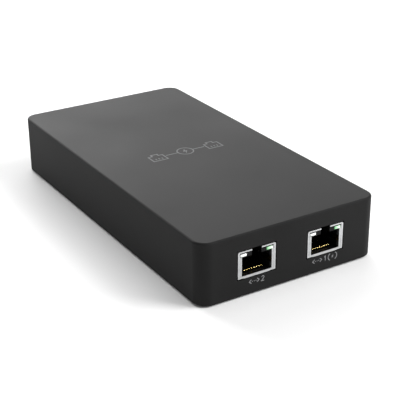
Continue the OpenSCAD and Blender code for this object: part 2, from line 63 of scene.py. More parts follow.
fits = dict(  # sizes that several pieces share
    inkDepth=0.02,  # the printed marks stand this far out, within the case's size
    sillDrop=0.4,  # a socket's lower edge hangs this far below the board's top
    plateThickness=2.0,
    screwHead=2.4,  # radius of a screw's head
    inletWidth=27.4,  # the inlet's body
    inletCorner=0.9,
)


# Points round a rectangle with rounded corners, level at the given height
def roundedRing(width, depth, radius, height, steps=6):
    points = []
    for corner, (sx, sy) in enumerate([(1, 1), (-1, 1), (-1, -1), (1, -1)]):
        for step in range(steps + 1):
            angle = math.radians(90 * (corner + step / steps))
            points.append(Vector((
                sx * (width / 2 - radius) + radius * math.cos(angle),
                sy * (depth / 2 - radius) + radius * math.sin(angle),
                height)))
    return points  # Skins rings that have the same number of points, and caps both ends
def loft(rings):
    mesh = bmesh.new()
    rows = [[mesh.verts.new(point) for point in ring] for ring in rings]
    count = len(rows[0])
    for lower, upper in zip(rows, rows[1:]):
        for i in range(count):
            j = (i + 1) % count
            mesh.faces.new((lower[i], lower[j], upper[j], upper[i]))
    mesh.faces.new(list(reversed(rows[0])))
    mesh.faces.new(rows[-1])
    bmesh.ops.recalc_face_normals(mesh, faces=mesh.faces)
    return mesh  # A box between two corners
def block(low, high):
    width, depth = high[0] - low[0], high[1] - low[1]
    middle = Vector(((low[0] + high[0]) / 2, (low[1] + high[1]) / 2, 0))
    ring = [(-width / 2, -depth / 2), (width / 2, -depth / 2),
            (width / 2, depth / 2), (-width / 2, depth / 2)]
    return loft([[middle + Vector((x, y, z)) for x, y in ring] for z in (low[2], high[2])])  # A flat outline pushed along Z
def prism(outline, start, end):
    return loft([[Vector((x, y, z)) for x, y in outline] for z in (start, end)])  # A profile of (radius, height) points turned round the Z axis
def lathe(profile, centre=(0, 0), steps=40):
    x, y = centre
    angles = [2 * math.pi * i / steps for i in range(steps)]
    return loft([[Vector((x + r * math.cos(angle), y + r * math.sin(angle), height)) for angle in angles]
                 for r, height in profile])  # A strip of metal of a width along X, bent along a path of (y, z) points
def bentStrip(path, width, thickness):
    rings = []
    side = Vector((width / 2, 0, 0))
    for i, (y, z) in enumerate(path):
        before, after = path[max(i - 1, 0)], path[min(i + 1, len(path) - 1)]
        along = Vector((0, after[0] - before[0], after[1] - before[1])).normalized()
        normal = Vector((0, -along.z, along.y)) * thickness / 2
        middle = Vector((0, y, z))
        rings.append([middle - side - normal, middle + side - normal,
                      middle + side + normal, middle - side + normal])
    return loft(rings)  # Moves or turns a mesh, and keeps its faces outward when the turn mirrors it
def placed(mesh, matrix):
    mesh.transform(matrix)
    bmesh.ops.recalc_face_normals(mesh, faces=mesh.faces)
    return mesh


def shifted(mesh, x=0, y=0, z=0):
    return placed(mesh, Matrix.Translation((x, y, z)))  # Swaps depth and height, so that a level outline stands up and faces along Y
standUp = Matrix(((1, 0, 0, 0), (0, 0, 1, 0), (0, 1, 0, 0), (0, 0, 0, 1)))


def joined(*meshes):
    whole = bmesh.new()
    for mesh in meshes:
        data = bpy.data.meshes.new("part")
        mesh.to_mesh(data)
        mesh.free()
        whole.from_mesh(data)
        bpy.data.meshes.remove(data)
    return whole


def toObject(name, mesh):
    data = bpy.data.meshes.new(name)
    mesh.to_mesh(data)
    mesh.free()
    thing = bpy.data.objects.new(name, data)
    bpy.context.scene.collection.objects.link(thing)
    return thing  # Adds solids to a base solid and then cuts others out of it
def combined(base, added=(), cut=()):
    host = toObject("host", base)
    tools = []
    for operation, meshes in (("UNION", added), ("DIFFERENCE", cut)):
        for mesh in meshes:
            tool = toObject("tool", mesh)
            step = host.modifiers.new("step", "BOOLEAN")
            step.operation = operation
            step.solver = "EXACT"
            step.object = tool
            tools.append(tool)
    bpy.context.view_layer.update()
    result = bmesh.new()
    result.from_object(host, bpy.context.evaluated_depsgraph_get())
    for thing in [host] + tools:
        data = thing.data
        bpy.data.objects.remove(thing)
        bpy.data.meshes.remove(data)
    weld = 0.0005  # points closer than this become one
    bmesh.ops.remove_doubles(result, verts=result.verts, dist=weld)
    bmesh.ops.dissolve_degenerate(result, edges=result.edges, dist=weld)
    return result


shading = dict(
    sharpAngle=32,  # edges that turn by more than this many degrees are sharp, or rounded
    edgeRounds=2,  # segments in a rounded edge
    faceWeight=60,  # how strongly the large faces set the shading of their edges
)


# Turns a drawn mesh into a shown piece of the model
def addPiece(name, mesh, material, replaced=(), edge=0.0, body="housing"):
    sharpAngle = math.radians(shading["sharpAngle"])
    mesh.transform(Matrix.Scale(mm, 4))
    piece = toObject(name, mesh)
    piece.data.materials.append(material)
    piece.data.shade_smooth()
    piece.data.set_sharp_from_angle(angle=sharpAngle)
    if edge:
        bevel = piece.modifiers.new("edge", "BEVEL")
        bevel.width = edge * mm
        bevel.segments = shading["edgeRounds"]
        bevel.limit_method = "ANGLE"
        bevel.angle_limit = sharpAngle
        bevel.miter_outer = "MITER_ARC"
    normals = piece.modifiers.new("normals", "WEIGHTED_NORMAL")
    normals.keep_sharp = True
    normals.weight = shading["faceWeight"]
    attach(piece, body)
    if replaced:
        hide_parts(*replaced)  # An sRGB hex colour as the linear colour that shaders take
def fromHex(text):
    channels = [int(text[i:i + 2], 16) / 255 for i in (1, 3, 5)]
    return [c / 12.92 if c <= 0.04045 else ((c + 0.055) / 1.055) ** 2.4 for c in channels] + [1.0]  # Adds one node, with its settings and what feeds its inputs
def addNode(tree, kind, settings=None, feeds=None):
    node = tree.nodes.new(kind)
    for key, value in (settings or {}).items():
        if isinstance(key, int) or key in node.inputs:
            node.inputs[key].default_value = value
        else:
            setattr(node, key, value)
    for key, socket in (feeds or {}).items():
        tree.links.new(socket, node.inputs[key])
    return node  # A new material and its shader, with the values that are the same all over it
def startMaterial(name, colour, settings):
    material = bpy.data.materials.new(name)
    material.use_nodes = True
    tree = material.node_tree
    shader = tree.nodes["Principled BSDF"]
    shader.inputs["Base Color"].default_value = fromHex(colour)
    for key, value in settings.items():
        shader.inputs[key].default_value = value
    return material, tree, shader  # Pattern cells per metre for one cell of this size in millimetres
def cellsOf(size):
    return 1 / (size * mm)  # Feeds a shader's colour from a pattern, between two close tones
def blendTones(tree, shader, pattern, dark, light, low=0.35, high=0.65):
    ramp = addNode(tree, "ShaderNodeValToRGB", feeds={"Fac": pattern})
    ramp.color_ramp.elements[0].position = low
    ramp.color_ramp.elements[0].color = fromHex(dark)
    ramp.color_ramp.elements[1].position = high
    ramp.color_ramp.elements[1].color = fromHex(light)
    tree.links.new(ramp.outputs["Color"], shader.inputs["Base Color"])  # Feeds a shader's roughness from a pattern, between two values
def varyRoughness(tree, shader, pattern, low, high):
    spread = addNode(tree, "ShaderNodeMapRange",
                     {"From Min": 0.3, "From Max": 0.7, "To Min": low, "To Max": high}, {"Value": pattern})
    tree.links.new(spread.outputs["Result"], shader.inputs["Roughness"])  # Feeds a shader's normal from a pattern, as a relief of this depth in millimetres
def raiseBumps(tree, shader, pattern, depth):
    bump = addNode(tree, "ShaderNodeBump", {"Strength": 1.0, "Distance": depth * mm}, {"Height": pattern})
    tree.links.new(bump.outputs["Normal"], shader.inputs["Normal"])  # A finish whose tone and roughness drift from patch to patch, with a fine relief. Patch, grain and
# relief are sizes in millimetres, and stretch scales the grain's coordinates along each axis.
def makeFinish(name, dark, light, settings, roughness, patch, grain, relief, stretch=(1, 1, 1)):
    material, tree, shader = startMaterial(name, dark, settings)
    place = addNode(tree, "ShaderNodeTexCoord").outputs["Object"]
    along = addNode(tree, "ShaderNodeMapping", {"Scale": stretch}, {"Vector": place})
    patches = addNode(tree, "ShaderNodeTexNoise",
                      {"Scale": cellsOf(patch), "Detail": 3.0}, {"Vector": place})
    fine = addNode(tree, "ShaderNodeTexNoise",
                   {"Scale": cellsOf(grain), "Detail": 2.0, "Roughness": 0.6},
                   {"Vector": along.outputs["Vector"]})
    blendTones(tree, shader, patches.outputs["Fac"], dark, light)
    varyRoughness(tree, shader, patches.outputs["Fac"], *roughness)
    raiseBumps(tree, shader, fine.outputs["Fac"], relief)
    return material  # Clear acrylic light guide, moulded: deeper in tone at its left end, with a glow that is the LED's light in a lit window and a painted glow in a window that is off
def lightGuide(name, deep, pale, glow, lowX, highX):
    material, tree, shader = startMaterial(name, pale, {"IOR": 1.49, "Roughness": 0.22, "Coat Weight": 0.4})
    place = addNode(tree, "ShaderNodeTexCoord").outputs["Object"]
    split = addNode(tree, "ShaderNodeSeparateXYZ", feeds={"Vector": place})
    across = addNode(tree, "ShaderNodeMapRange",
                     {"From Min": lowX * mm, "From Max": highX * mm}, {"Value": split.outputs["X"]})
    ramp = addNode(tree, "ShaderNodeValToRGB", feeds={"Fac": across.outputs["Result"]})
    ramp.color_ramp.elements[0].color = fromHex(deep)
    ramp.color_ramp.elements[1].position = 0.75
    ramp.color_ramp.elements[1].color = fromHex(pale)
    tree.links.new(ramp.outputs["Color"], shader.inputs["Base Color"])
    tree.links.new(ramp.outputs["Color"], shader.inputs["Emission Color"])
    shader.inputs["Emission Strength"].default_value = glow
    return material


metal = {"Metallic": 1.0}


def nonMetal(ior, shine):
    return {"IOR": ior, "Specular IOR Level": shine}  # Moulded ABS from a spark-eroded tool: the even grain spreads the shine into a soft sheen.
# The real grain is about 0.1 mm, so it is drawn at 0.45 mm to show at all.
coverAbs = makeFinish(
    "charcoal ABS, spark-grained", "#202020", "#242424", nonMetal(1.5, 0.075), (0.55, 0.61), 28, 0.45, 0.008)
baseAbs = makeFinish(
    "dark charcoal ABS, moulded", "#131313", "#181818", nonMetal(1.5, 0.2), (0.5, 0.62), 14, 0.5, 0.012)

# Screen-printed enamel ink: thin and a little broken where it sits on the grain
topInk = makeFinish(
    "grey gloss ink, printed", "#303032", "#3a3a3c", nonMetal(1.5, 0.3), (0.45, 0.6), 0.35, 0.4, 0.004)
portInk = makeFinish(
    "pale grey ink, printed", "#7c7c7e", "#949496", nonMetal(1.5, 0.3), (0.45, 0.6), 0.35, 0.4, 0.004)

# Tinned sheet steel, rolled and stamped: bright, with faint rolling lines drawn about 0.2 mm apart
shieldTin = makeFinish(
    "tinned steel sheet, stamped", "#c4c5c6", "#cfd0d1", metal, (0.3, 0.36), 2.5, 0.2, 0.004, (0.08, 1, 1))

# Phosphor bronze strip, rolled and left bare: bronze in hue, with its tone painted a dark olive brown as painted shade,
# for springs that sit in shade inside the socket's opening
springBronzePaintedShade = makeFinish("phosphor bronze strip, rolled, dark as painted shade", "#2a2212", "#40351d",
                          metal, (0.2, 0.34), 1.2, 0.2, 0.004, (1, 0.1, 1))

# Black glass-filled PBT, moulded: dense and slightly silky
socketPbt = makeFinish(
    "black PBT, moulded", "#060607", "#0a0a0b", nonMetal(1.55, 0.14), (0.38, 0.5), 3, 0.3, 0.006)
inletPbt = makeFinish(
    "black PBT, matt moulded", "#0f0f10", "#161617", nonMetal(1.55, 0.4), (0.42, 0.55), 6, 0.4, 0.012)

# Gold flash over phosphor bronze wire, drawn: bright at the bend, with fine draw lines along it
contactGold = makeFinish("gold-plated bronze wire, drawn", "#c9ab5e", "#e2cf93",
                         metal, (0.07, 0.12), 0.6, 0.12, 0.002, (1, 0.2, 1))

# Nickel-plated brass, stamped and tumbled: warm grey with soft scuffs
pinNickel = makeFinish(
    "nickel-plated brass, stamped", "#b9b5aa", "#d2cfc6", metal, (0.2, 0.36), 1.5, 0.25, 0.006, (1, 0.15, 1))

# Zinc-plated steel, cold-headed: blue-grey bright with a cloudy passivation
screwZinc = makeFinish(
    "zinc-plated steel, cold-headed", "#9a9da3", "#c0c3c8", metal, (0.28, 0.45), 0.8, 0.2, 0.005)

# Mill-finish aluminium, extruded: pale, with long drawn lines along the profile
sinkAluminium = makeFinish(
    "aluminium, extruded mill finish", "#b5b8ba", "#d3d5d6", metal, (0.3, 0.45), 4, 0.3, 0.012, (1, 0.05, 1))

# Soft rubber, compression-moulded: near black, dusty and without shine
footRubber = makeFinish("black rubber, compression-moulded", "#161616", "#202020",
                        nonMetal(1.52, 0.2), (0.75, 0.9), 1.8, 0.3, 0.03)

# Synthetic paper label and its print, both matt
labelFilm = makeFinish(
    "polypropylene film, matt coated", "#c4c4c2", "#cecece", nonMetal(1.49, 0.3), (0.5, 0.62), 7, 0.35, 0.004)
labelInk = makeFinish(
    "black ink, thermal printed", "#1c1c1e", "#2a2a2c", nonMetal(1.5, 0.3), (0.5, 0.65), 0.5, 0.3, 0.002)

# Fish paper, calendered: straw-coloured fibres under a waxy face
sheetPaper = makeFinish("vulcanised fibre sheet, calendered", "#b9ab84", "#d6caa6",
                        nonMetal(1.5, 0.3), (0.5, 0.7), 5, 0.5, 0.02, (0.3, 1, 1))

# Small parts on the board
sinteredFerrite = makeFinish("manganese zinc ferrite, sintered", "#2a2928", "#3a3836",
                             nonMetal(1.9, 0.5), (0.45, 0.65), 2.5, 0.3, 0.02)
enamelCopper = makeFinish("copper wire, enamelled", "#a34f22", "#c97437",
                          {"Metallic": 1.0, "Coat Weight": 0.6}, (0.22, 0.34), 1.2, 0.2, 0.006)
packageEpoxy = makeFinish("black epoxy compound, transfer-moulded", "#151516", "#1f1f21",
                          nonMetal(1.55, 0.3), (0.5, 0.65), 2, 0.25, 0.012)
packageWhite = makeFinish(
    "white epoxy, transfer-moulded", "#d9d9d4", "#e8e8e4", nonMetal(1.55, 0.35), (0.45, 0.6), 2, 0.25, 0.01)
discBlue = makeFinish(
    "blue epoxy powder, dip-coated", "#24548f", "#3a70b4", nonMetal(1.55, 0.5), (0.25, 0.38), 2.2, 0.8, 0.04)
discGreen = makeFinish("dark green silicone lacquer, dip-coated", "#1f3527", "#2e4a37",
                       nonMetal(1.5, 0.5), (0.3, 0.45), 2.2, 0.8, 0.04)
yellowPbt = makeFinish(
    "yellow PBT box, moulded", "#c89a1e", "#dcb038", nonMetal(1.55, 0.4), (0.35, 0.5), 5, 0.4, 0.01)
sleevePvc = makeFinish("dark blue PVC sleeve, heat-shrunk", "#1f2548", "#2c345f",
                       nonMetal(1.54, 0.5), (0.22, 0.32), 3, 1.2, 0.02, (1, 1, 0.3))
fuseGlass = makeFinish("soda-lime glass tube, drawn", "#cfd6d3", "#e4e9e7",
                       {"IOR": 1.52, "Transmission Weight": 0.6}, (0.06, 0.16), 3, 1.5, 0.01, (1, 0.2, 1))
chipCeramic = makeFinish(
    "barium titanate chip, fired", "#8f7550", "#b0946a", nonMetal(1.8, 0.4), (0.4, 0.55), 0.7, 0.2, 0.01)  # Solder mask over etched copper on glass laminate: squarish tracks show through as a paler green.
# The patches between the tracks are drawn about 3.2 mm across.
def printedBoard(name):
    material, tree, shader = startMaterial(
        name, "#14502b", {"IOR": 1.55, "Roughness": 0.32, "Coat Weight": 0.25})
    place = addNode(tree, "ShaderNodeTexCoord").outputs["Object"]
    tracks = addNode(tree, "ShaderNodeTexVoronoi",
                     {"distance": "MANHATTAN", "feature": "F1", "Scale": cellsOf(3.2), "Randomness": 0.6},
                     {"Vector": place})
    blendTones(tree, shader, tracks.outputs["Distance"], "#0f4423", "#1e6a3a", 0.42, 0.48)
    raiseBumps(tree, shader, tracks.outputs["Distance"], 0.03)
    return material  # Yellow polyester tape, wound: glossy, with an overlap line about every 6 mm.
# A wave texture repeats 20 / (2 pi) times in each unit of its scaled coordinates.
def woundTape(name):
    material, tree, shader = startMaterial(name, "#d9b01f", {"IOR": 1.6, "Roughness": 0.25})
    place = addNode(tree, "ShaderNodeTexCoord").outputs["Object"]
    wraps = addNode(tree, "ShaderNodeTexWave",
                    {"bands_direction": "Y", "wave_profile": "SAW", "Scale": cellsOf(3) / 6.28,
                     "Distortion": 0.4},
                    {"Vector": place})
    blendTones(tree, shader, wraps.outputs["Fac"], "#c79a12", "#e6c33c", 0.1, 0.95)
    raiseBumps(tree, shader, wraps.outputs["Fac"], 0.05)
    return material


boardMask = printedBoard("green solder mask on glass laminate")
windingTape = woundTape("yellow polyester tape, wound")
print("materials made")


cover = dict(
    wall=2.0,  # thickness of the shell
    cornerRadius=5.3,  # upright corners
    topRound=0.8,  # rounding of the top edge
    bottomRound=0.3,  # rounding of the bottom edge
    innerRound=0.6,  # fillet inside the ceiling
    leastRadius=0.3,  # upright corners stay at least this round
    cutoutChamfer=0.05,  # broken edge round each cut-out
    socketGap=0.4,  # gap round each socket
    inletGap=0.1,  # gap round the inlet
    bossRadius=2.9,
    bossHole=1.35,
    bossRise=9.0,  # depth of the screw holes above the base plate
)


# A straight-sided hole through an upright wall at y, widened at the outside face
def wallCutter(width, height, middle, outside, inward, radius=0.35):
    chamfer, clear, through = cover["cutoutChamfer"], 0.5, 4.0
    rings = []
    for step, grow in ((-clear, clear + chamfer), (chamfer, 0.0), (through, 0.0)):
        ring = roundedRing(width + 2 * grow, height + 2 * grow, radius, 0, 4)
        rings.append([Vector((p.x + middle[0], outside + inward * step, p.y + middle[1])) for p in ring])
    return loft(rings)


def makeCover():
    ink, corner, wall = fits["inkDepth"], cover["cornerRadius"], cover["wall"]
    width = coverHigh.x - coverLow.x
    length = coverHigh.y - coverLow.y - ink
    top = coverHigh.z - ink
    ceiling = coverHigh.z - wall
    quarter = [math.radians(90 * i / 5) for i in range(6)]

    def ringAt(inset, height):
        ring = roundedRing(width - 2 * inset, length - 2 * inset,
                           max(corner - inset, cover["leastRadius"]), height, 10)
        return [p + Vector((0, ink / 2, 0)) for p in ring]

    r = cover["bottomRound"]  # outside, from the bottom rim
    rings = [ringAt(r - r * math.sin(angle), coverLow.z + r - r * math.cos(angle)) for angle in quarter]
    r = cover["topRound"]
    rings += [ringAt(r - r * math.cos(angle), top - r + r * math.sin(angle)) for angle in quarter]
    outside = loft(rings)
    r = cover["innerRound"]  # inside, up to the ceiling
    rings = [ringAt(wall, coverLow.z - 1)]
    rings += [ringAt(wall + r - r * math.cos(angle), ceiling - r + r * math.sin(angle)) for angle in quarter]
    shell = combined(outside, cut=[loft(rings)])

    plateTop = baseLow.z + fits["plateThickness"]
    bosses, cuts = [], []
    for place in cornersOf("housing_screws", fits["screwHead"]):
        r = cover["bossRadius"]
        bosses.append(lathe([(r, plateTop), (r, ceiling + 0.5)], place, 32))
        r = cover["bossHole"]
        cuts.append(lathe([(r, 0), (r, plateTop + cover["bossRise"])], place, 24))
    gap, drop = cover["socketGap"], fits["sillDrop"]
    for jack in ("lan", "poe"):
        low, high = nodeBox(jack + "_jack_shield")
        middle = ((low.x + high.x) / 2, (high.z + boardTop - drop) / 2)
        cuts.append(wallCutter(high.x - low.x + 2 * gap, high.z - boardTop + drop + 2 * gap,
                               middle, coverLow.y + ink, 1))
    low, high = nodeBox("inlet_shell")
    gap = cover["inletGap"]
    cuts.append(wallCutter(fits["inletWidth"] + 2 * gap, high.z - low.z + 2 * gap,
                           (0, (low.z + high.z) / 2), coverHigh.y, -1, fits["inletCorner"]))
    shell = combined(shell, added=bosses, cut=cuts)
    addPiece("topCover", shell, coverAbs, ["top_cover"])


makeCover()
print("top cover made")


marks = dict(
    topMiddle=(0.9, 0.6),  # centre of the pictogram on the top face
    topStroke=0.55,
    socketAcross=13,  # from the middle to each socket sign
    socketSize=6.4,
    pinPitch=1.4,  # three strokes in each socket sign, and their ends
    pinEnds=(-2.2, -0.9),
    linkEnds=(3.6, 9),  # the joining lines, measured from the middle
    ringRadius=3.4,
    boltHeight=4.8,
    portStroke=0.29,
    portHeight=1.9,
    portDrop=1.15,  # from the socket's lower edge to the mark's upper edge
    plainStart=-3.2,  # left end of the sign without power, and of the one with it
    poweredStart=-5.5,
    bracketRadius=1.5,
    bowlRadius=0.52,  # the round of the figure 2
    dotPitch=0.75,
)


# A line of even width along points, mitred at its corners and raised by its thickness
def inkLine(points, width, thickness, closed=False):
    mesh = bmesh.new()
    count = len(points)
    sides = []
    for i, point in enumerate(points):
        point = Vector(point)
        before = Vector(points[i - 1]) if (i or closed) else None
        after = Vector(points[(i + 1) % count]) if (i < count - 1 or closed) else None
        into = (point - before).normalized() if before is not None else (after - point).normalized()
        out = (after - point).normalized() if after is not None else into
        mitre = (Vector((-into.y, into.x)) + Vector((-out.y, out.x))).normalized()
        reach = width / 2 / max(mitre.dot(Vector((-into.y, into.x))), 0.3)
        sides.append((point + mitre * reach, point - mitre * reach))
    rows = []
    for left, right in sides:
        rows.append([mesh.verts.new((p.x, p.y, z)) for p, z in
                     ((left, 0), (right, 0), (right, thickness), (left, thickness))])
    pairs = list(zip(rows, rows[1:])) + ([(rows[-1], rows[0])] if closed else [])
    for first, second in pairs:
        for i in range(4):
            j = (i + 1) % 4
            mesh.faces.new((first[i], first[j], second[j], second[i]))
    if not closed:
        mesh.faces.new(rows[0])
        mesh.faces.new(list(reversed(rows[-1])))
    bmesh.ops.recalc_face_normals(mesh, faces=mesh.faces)
    return mesh


def arcPoints(x, y, radius, start, end, steps=10):
    angles = [math.radians(start + (end - start) * i / steps) for i in range(steps + 1)]
    return [(x + radius * math.cos(angle), y + radius * math.sin(angle)) for angle in angles]


def boltOutline(x, y, height):
    shape = [(0.16, 0.5), (-0.24, -0.06), (-0.02, -0.06), (-0.16, -0.5), (0.24, 0.08), (0.02, 0.08)]
    return [(x + px * height, y + py * height) for px, py in shape]  # A plain socket outline with its latch step, for the pictogram on the top
def socketOutline(x, y, size):
    shape = [(-0.5, -0.5), (0.5, -0.5), (0.5, 0.28), (0.22, 0.28), (0.22, 0.5),
             (-0.22, 0.5), (-0.22, 0.28), (-0.5, 0.28)]
    return [(x + px * size, y + py * size) for px, py in shape]


def makeTopMark():
    m = marks
    stroke, depth = m["topStroke"], fits["inkDepth"]
    lines = [inkLine(arcPoints(0, 0, m["ringRadius"], 0, 342, 19), stroke, depth, True),
             prism(boltOutline(0, 0, m["boltHeight"]), 0, depth)]
    for side in (-1, 1):
        across = side * m["socketAcross"]
        lines.append(inkLine(socketOutline(across, 0, m["socketSize"]), stroke, depth, True))
        ends = sorted(side * end for end in m["linkEnds"])
        lines.append(inkLine([(end, 0) for end in ends], stroke, depth))
        for i in (-1, 0, 1):
            x = across + i * m["pinPitch"]
            lines.append(inkLine([(x, end) for end in m["pinEnds"]], stroke * 0.9, depth))
    mark = shifted(joined(*lines), *m["topMiddle"], coverHigh.z - depth)
    addPiece("topPictogram", mark, topInk)  # The plain network sign, an angle bracket on each side of three dots
def networkSign(x, height, stroke, depth):
    half = height / 2
    lines = [inkLine([(x + 0.9, half * 0.8), (x, 0), (x + 0.9, -half * 0.8)], stroke, depth),
             inkLine([(x + 3.3, half * 0.8), (x + 4.2, 0), (x + 3.3, -half * 0.8)], stroke, depth)]
    for i in range(3):
        dot = (x + 1.35 + i * marks["dotPitch"], 0)
        lines.append(lathe([(stroke * 0.62, 0), (stroke * 0.62, depth)], dot, 12))
    return lines


def makePortMark(name, low, high, powered):
    stroke, depth = marks["portStroke"], fits["inkDepth"]
    half = marks["portHeight"] / 2
    start = marks["poweredStart"] if powered else marks["plainStart"]
    lines = networkSign(start, 2 * half, stroke, depth)
    digit = start + 5.8
    if powered:  # a figure 1, then a bolt in brackets
        lines.append(inkLine([(digit - 0.5, half * 0.6), (digit, half), (digit, -half)], stroke, depth))
        bolt, r = start + 9.1, marks["bracketRadius"]
        lines.append(inkLine(arcPoints(bolt - 0.5, 0, r, 115, 245, 8), stroke, depth))
        lines.append(inkLine(arcPoints(bolt + 0.5, 0, r, -65, 65, 8), stroke, depth))
        lines.append(prism(boltOutline(bolt, 0, 2 * half), 0, depth))
    else:  # a figure 2
        r = marks["bowlRadius"]
        bowl = arcPoints(digit - 0.05, half - r, r, 165, -35, 8)
        lines.append(inkLine(bowl + [(digit - 0.6, -half), (digit + 0.55, -half)], stroke, depth))
    mark = joined(*lines)
    placed(mark, standUp)  # the sign now stands in the end wall's plane
    placed(mark, Matrix.Scale(-1, 4, Vector((0, 1, 0))))
    height = boardTop - fits["sillDrop"] - marks["portDrop"] - half
    mark = shifted(mark, (low.x + high.x) / 2, coverLow.y + depth, height)
    addPiece(name, mark, portInk)


makeTopMark()
makePortMark("lanPortMark", *nodeBox("lan_jack_shield"), powered=False)
makePortMark("poePortMark", *nodeBox("poe_jack_shield"), powered=True)
print("printed marks made")  # The RJ45 sockets are drawn once, with the face at y = 0 and the board at z = 0
shieldLow, shieldHigh = nodeBox("lan_jack_shield")
wireLow = nodeBox("lan_jack_contacts")[0]
socket = dict(
    width=shieldHigh.x - shieldLow.x,
    depth=shieldHigh.y - shieldLow.y,
    height=shieldHigh.z - boardTop,
    face=shieldLow.y,
    cornerRound=0.6,
    sheet=0.25,  # thickness of the shield's metal
    strip=1.62,  # width of the metal on each side of the opening
    plugWidth=11.75,
    plugHeight=7.3,
    sill=0.55,  # height of the strip under the plug
    sillDropWidth=11.3,  # the strip's middle, that hangs lowest
    faceDrop=0.25,  # its ends hang this far below the board's top
    lip=0.55,  # height of the strip above the plug
    notch=4.1,  # gap in that strip for the latch
    latchWidth=6.4,
    latchStep=1.6,
    windowIn=0.75,  # from the side of the shield to the light window
    lensSideGap=0.35,
    lensTopGap=0.65,
    lensWidth=2.65,
    lensHeight=1.05,
    lensBed=0.2,  # from the top of the plug's cavity to the light window
    fingerHeight=2.15,
    fingerMiddle=4.1,
    fingerBulge=0.33,
    fingerLength=6.0,
    fingerSheet=0.16,
    seamIn=0.8,  # from the side of the shield to the folded seam in the face
    seamHalf=0.06,
    legFront=11.3,  # the soldered legs, measured from the face
    legBack=12.5,
    legTip=0.5,  # width of a leg's point
    pegAcross=5.7,  # the two moulded pegs that go into the board
    pegDepth=8.9,
    pitch=1.02,
    wires=8,
    wireWidth=0.36,
    wireThickness=0.2,
    wireBend=0.13,  # radius of the bend at the root
    wireRise=20,  # degrees
    leadDepth=11.75,  # where the soldered halves of the wires go down
)
socket["plugTop"] = socket["sill"] + socket["plugHeight"]
socket["lipBottom"] = socket["height"] - socket["lip"]
socket["lensBottom"] = socket["lipBottom"] - socket["lensTopGap"] - socket["lensHeight"]
socket["lensInner"] = socket["width"] / 2 - socket["windowIn"] - socket["lensSideGap"] - socket["lensWidth"]

# Turns an outline of (depth, height) points, so that it is pushed along X
alongX = Matrix(((0, 0, 1, 0), (1, 0, 0, 0), (0, 1, 0, 0), (0, 0, 0, 1)))  # The light windows are the two upper corners of the opening
def faceOpening(front, back):
    s = socket
    half = s["width"] / 2 - s["strip"]
    window = s["width"] / 2 - s["windowIn"]
    windowBottom = s["plugTop"] + s["lensBed"]
    outline = [(-half, s["sill"]), (half, s["sill"]), (half, windowBottom), (window, windowBottom),
               (window, s["lipBottom"]), (-window, s["lipBottom"]), (-window, windowBottom),
               (-half, windowBottom)]
    return placed(prism(outline, front, back), standUp)


def shieldMesh():
    s = socket
    half = s["width"] / 2
    can = placed(loft([roundedRing(s["width"], s["height"], s["cornerRound"], depth, 5)
                       for depth in (0.0, s["depth"])]), standUp)
    shifted(can, 0, 0, s["height"] / 2)
    hollow = block((-half + s["sheet"], s["sheet"], -1),
                   (half - s["sheet"], s["depth"] - s["sheet"], s["height"] - s["sheet"]))
    notch = block((-s["notch"] / 2, -1, s["lipBottom"] - 0.1),
                  (s["notch"] / 2, s["latchStep"], s["height"] + 1))
    seams = []
    for side in (-1, 1):
        x = side * (half - s["seamIn"])
        seams.append(block((x - s["seamHalf"], -0.2, s["sill"] - 0.1),
                           (x + s["seamHalf"], 0.12, s["plugTop"] + 0.6)))
    can = combined(can, cut=[hollow, faceOpening(-1, s["sheet"] + 0.1), notch] + seams)
    dropHalf, drop, lowest = s["sillDropWidth"] / 2, s["faceDrop"], fits["sillDrop"]
    sill = placed(prism([(-half, 0.3), (-half, 0.1 - drop), (-half + 0.1, -drop), (-dropHalf, -drop),
                         (-dropHalf + 0.2, -lowest), (dropHalf - 0.2, -lowest), (dropHalf, -drop),
                         (half - 0.1, -drop), (half, 0.1 - drop), (half, 0.3)], 0.0, s["sheet"]), standUp)
    legs = []
    legLow = shieldLow.z - boardTop
    front, back = s["legFront"], s["legBack"]
    taper = (back - front - s["legTip"]) / 2
    leg = [(front, 0.4), (front, legLow + 0.7), (front + taper, legLow),
           (back - taper, legLow), (back, legLow + 0.7), (back, 0.4)]
    for side in (-1, 1):
        x = side * (half - s["sheet"] / 2)
        legs.append(placed(prism(leg, x - s["sheet"] / 2, x + s["sheet"] / 2), alongX))
    return combined(can, added=[sill] + legs)  # Sprung strips in the sides of the opening, that earth the plug's own shield
def springsMesh():
    s = socket
    edge = s["width"] / 2 - s["strip"]
    plugHalf = s["plugWidth"] / 2
    path = [(0.16, edge - 0.06), (0.4, edge - 0.14), (0.8, plugHalf + 0.12)]  # depth and distance out
    for step in range(9):
        t = step / 8
        bulge = s["fingerBulge"] * math.sin(math.pi * t) ** 1.3
        path.append((1.1 + t * 4.5, plugHalf + 0.1 - bulge))
    path.append((s["fingerLength"], plugHalf + 0.16))
    springs = []
    for side in (-1, 1):
        turn = Matrix(((0, 0, side, 0), (0, 1, 0, 0), (1, 0, 0, s["fingerMiddle"]), (0, 0, 0, 1)))
        springs.append(placed(bentStrip(path, s["fingerHeight"], s["fingerSheet"]), turn))
    return joined(*springs)


